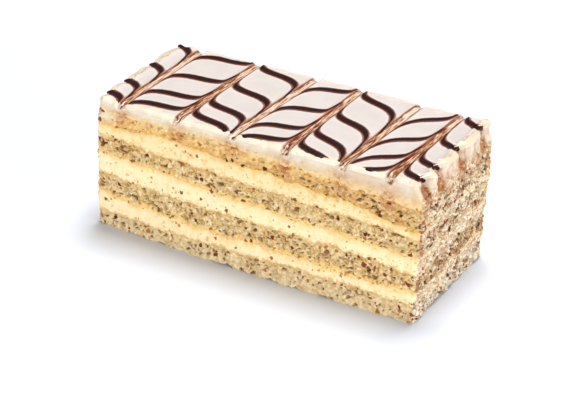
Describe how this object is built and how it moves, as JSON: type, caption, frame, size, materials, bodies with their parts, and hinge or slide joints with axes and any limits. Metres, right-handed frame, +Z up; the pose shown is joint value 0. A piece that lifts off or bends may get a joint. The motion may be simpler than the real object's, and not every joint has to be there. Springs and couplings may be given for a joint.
{
  "type": "esterhazy torte slice",
  "caption": "Rectangular cut slice of layered nut torte: thin nut sponges with butter cream between, under white fondant feathered with chocolate lines.",
  "frame": {"origin": "middle of the overall box along and across the slice, on the surface that the slice rests on", "axes": "+X along the slice, +Y from the cut front to the cut back, +Z up through the layers to the fondant"},
  "size_m": [0.1072, 0.0486, 0.0435],
  "materials": {
    "nut_sponge": "crumbly baked sponge with ground nuts, matte",
    "butter_cream": "smooth butter cream cut with a knife, soft satin",
    "fondant": "poured sugar fondant, smooth and glossy, slightly see-through at its dragged edge",
    "chocolate": "piped dark chocolate, glossy"
  },
  "bodies": {
    "root": {"nut_sponge_1": "nut_sponge", "nut_sponge_2": "nut_sponge", "nut_sponge_3": "nut_sponge", "nut_sponge_4": "nut_sponge", "butter_cream_1": "butter_cream", "butter_cream_2": "butter_cream", "butter_cream_3": "butter_cream", "fondant_icing": "fondant"}
  },
  "joints": []
}
